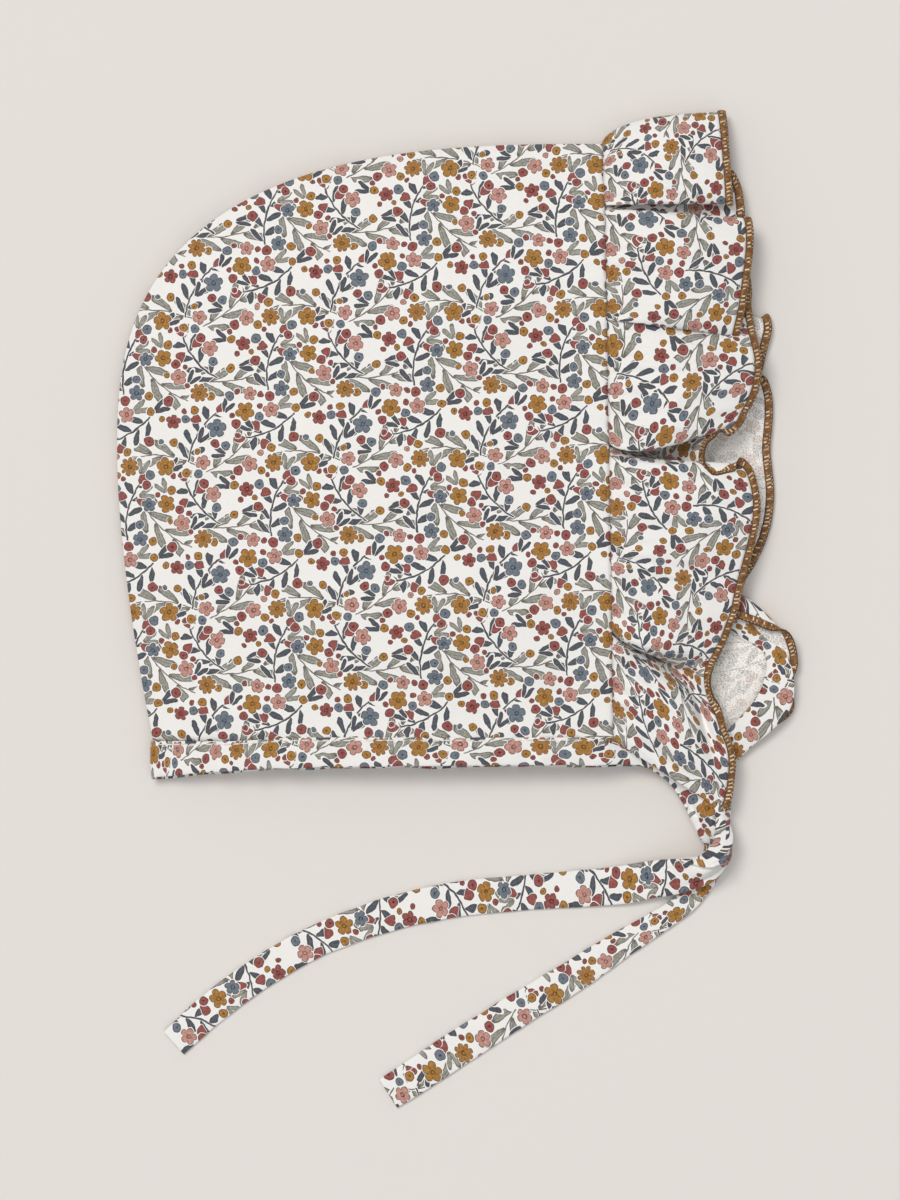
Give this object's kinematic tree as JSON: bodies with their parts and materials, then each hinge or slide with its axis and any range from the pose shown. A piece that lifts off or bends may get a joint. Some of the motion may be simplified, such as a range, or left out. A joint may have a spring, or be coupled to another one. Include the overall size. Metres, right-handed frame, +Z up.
{
  "type": "bonnet",
  "caption": "Baby's bonnet in ditsy floral cotton, laid flat on its side, with a gathered ruffle round the face, a bound neck edge and trailing ties.",
  "frame": {"origin": "on the surface the bonnet lies on, under the middle of its whole outline", "axes": "+X from the back of the crown to the face opening, +Y from the neck edge to the crown, +Z up from the surface"},
  "size_m": [0.1968, 0.2894, 0.0183],
  "materials": {
    "printed_cotton": "plain-woven cotton with a small flower print, matt",
    "overlock_thread": "ochre-brown overlock thread, slightly lustrous"
  },
  "bodies": {
    "root": {"panel_upper": "printed_cotton", "panel_lower": "printed_cotton", "ruffle": "printed_cotton", "ruffle_edging": "overlock_thread", "neck_binding": "printed_cotton", "tie_upper": "printed_cotton", "tie_lower": "printed_cotton"}
  },
  "joints": []
}
